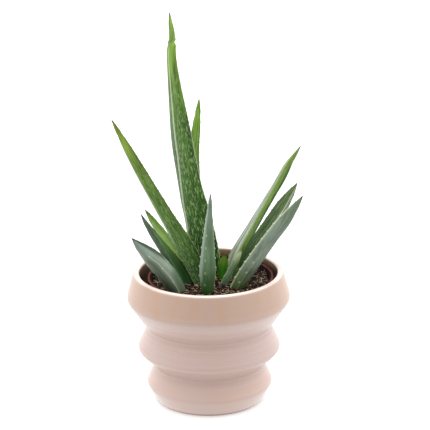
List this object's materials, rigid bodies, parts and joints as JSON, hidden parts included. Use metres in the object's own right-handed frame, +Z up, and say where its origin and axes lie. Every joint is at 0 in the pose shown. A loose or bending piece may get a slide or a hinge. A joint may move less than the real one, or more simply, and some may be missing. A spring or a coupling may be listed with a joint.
{
  "type": "potted aloe vera",
  "caption": "Young aloe vera with upright, toothed, tapering leaves, in a thin nursery pot that stands in a waved glazed ceramic pot.",
  "frame": {"origin": "centre of the ceramic pot's flat base, on the surface that it stands on", "axes": "+Z up along the pot's axis, -Y towards the front, where the broad middle leaf stands"},
  "size_m": [0.1795, 0.1558, 0.376],
  "materials": {
    "glazed_ceramic": "satin",
    "terracotta_plastic": "satin",
    "potting_soil": "rough",
    "stem": "rough",
    "dried_stub": "rough",
    "leaf_tall": "satin",
    "leaf_back": "satin",
    "leaf_left_long": "satin",
    "leaf_left_pale": "satin",
    "leaf_left_mid": "satin",
    "leaf_left_low": "satin",
    "leaf_front": "satin",
    "leaf_bud": "satin",
    "leaf_right_long": "satin",
    "leaf_front_small": "satin",
    "leaf_right_mid": "satin",
    "leaf_right_front": "satin"
  },
  "bodies": {
    "root": {"ceramic_pot": "glazed_ceramic", "nursery_pot": "terracotta_plastic", "soil": "potting_soil", "stem": "stem", "dried_stub": "dried_stub", "leaf_tall": "leaf_tall", "leaf_back": "leaf_back", "leaf_left_long": "leaf_left_long", "leaf_left_pale": "leaf_left_pale", "leaf_left_mid": "leaf_left_mid", "leaf_left_low": "leaf_left_low", "leaf_front": "leaf_front", "leaf_bud": "leaf_bud", "leaf_right_long": "leaf_right_long", "leaf_front_small": "leaf_front_small", "leaf_right_mid": "leaf_right_mid", "leaf_right_front": "leaf_right_front"}
  },
  "joints": []
}
